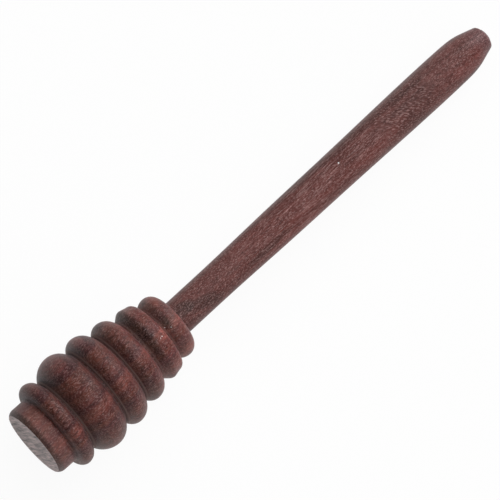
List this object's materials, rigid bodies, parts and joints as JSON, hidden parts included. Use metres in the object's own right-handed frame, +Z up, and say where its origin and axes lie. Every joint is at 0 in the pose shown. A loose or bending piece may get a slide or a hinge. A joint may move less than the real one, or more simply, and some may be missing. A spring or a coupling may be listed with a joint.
{
  "type": "honey dipper",
  "caption": "Turned wooden honey dipper: a tapering ribbed head with deep rounded rings and a plain round handle glued into it, lying on its side.",
  "frame": {"origin": "bottom centre of the bounding box: on the floor, under the middle of the dipper as it lies on its side", "axes": "+X from the ringed head to the handle's tip, +Z up, +Y across the dipper"},
  "size_m": [0.1602, 0.0284, 0.0283],
  "materials": {
    "head_wood": "dark red-brown open-pored hardwood, satin oiled",
    "handle_wood": "dark red-brown straight-grained hardwood, satin oiled",
    "dried_glue": "dried wood glue, matt"
  },
  "bodies": {
    "root": {"dipper_head": "head_wood", "handle": "handle_wood", "glue_film": "dried_glue"}
  },
  "joints": []
}
